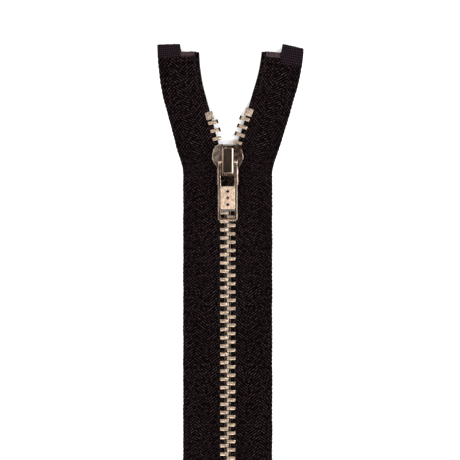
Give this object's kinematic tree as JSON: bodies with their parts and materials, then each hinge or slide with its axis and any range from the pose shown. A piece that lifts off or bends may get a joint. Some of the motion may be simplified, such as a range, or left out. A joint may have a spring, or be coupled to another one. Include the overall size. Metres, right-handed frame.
{
  "type": "separating zipper",
  "caption": "Separating metal jacket zipper, nearly closed: toothed woven tapes, auto-lock slider with pull tab, top stops, film tape ends, retainer box.",
  "frame": {"origin": "centre of the retainer box's underside, on the centreline of the chain", "axes": "+Y up the chain from the retainer box to the top stops, +Z out of the front face with the pull tab, +X to the right seen from the front; the zipper lies flat"},
  "size_m": [0.0566, 0.2289, 0.0082],
  "materials": {
    "tape": "matte herringbone weave",
    "cord": "matte woven cord",
    "film": "thin glossy film",
    "teeth": "pale champagne plating, satin",
    "stops": "pale champagne plating, satin",
    "slider": "dark bronze nickel, handled",
    "cap": "dark bronze nickel, polished",
    "tab": "satin champagne nickel, dark in its grooves",
    "spring_steel": "plain spring steel",
    "box": "satin champagne nickel"
  },
  "bodies": {
    "box_end": {"retainer_box": "box", "box_pin": "box", "insert_pin": "box", "left_tape_foot": "tape", "right_tape_foot": "tape", "left_foot_film_front": "film", "left_foot_film_back": "film", "right_foot_film_front": "film", "right_foot_film_back": "film"},
    "left_stringer": {"left_tape": "tape", "left_cord": "cord", "left_teeth": "teeth", "left_top_stop": "stops", "left_top_film_front": "film", "left_top_film_back": "film"},
    "right_stringer": {"right_tape": "tape", "right_cord": "cord", "right_teeth": "teeth", "right_top_stop": "stops", "right_top_film_front": "film", "right_top_film_back": "film"},
    "slider": {"slider_body": "slider", "slider_cap": "cap", "lock_spring": "spring_steel"},
    "pawl": {"lock_pawl": "spring_steel"},
    "tab": {"pull_tab": "tab"}
  },
  "joints": [
    {"name": "slider_travel", "type": "slide", "parent": "box_end", "child": "slider", "axis": [0, 1, 0], "range_m": [-0.1644, 0], "deforming": ["left_teeth", "right_teeth", "left_cord", "right_cord", "left_tape_foot", "right_tape_foot"]},
    {"name": "left_stringer_swing", "type": "hinge", "parent": "box_end", "child": "left_stringer", "pos_m": [-0.0021, 0.0126, 0.0024], "axis": [0, 0, 1], "range_deg": [0, 17.01]},
    {"name": "right_stringer_swing", "type": "hinge", "parent": "box_end", "child": "right_stringer", "pos_m": [0.0021, 0.0126, 0.0024], "axis": [0, 0, -1], "range_deg": [0, 17.01]},
    {"name": "pull_tab_swing", "type": "hinge", "parent": "slider", "child": "tab", "pos_m": [0, 0.1787, 0.00575], "axis": [-1, 0, 0], "range_deg": [0, 170]},
    {"name": "pawl_lift", "type": "slide", "parent": "slider", "child": "pawl", "axis": [0, 0, 1], "range_m": [0, 0.00041], "deforming": ["lock_spring"]}
  ],
  "couplings": [
    {"joint": "left_stringer_swing", "follows": "slider_travel", "rad_per_m": -1.8048},
    {"joint": "right_stringer_swing", "follows": "slider_travel", "rad_per_m": -1.8048},
    {"joint": "pawl_lift", "follows": "pull_tab_swing", "m_per_rad": 0.00013481}
  ]
}
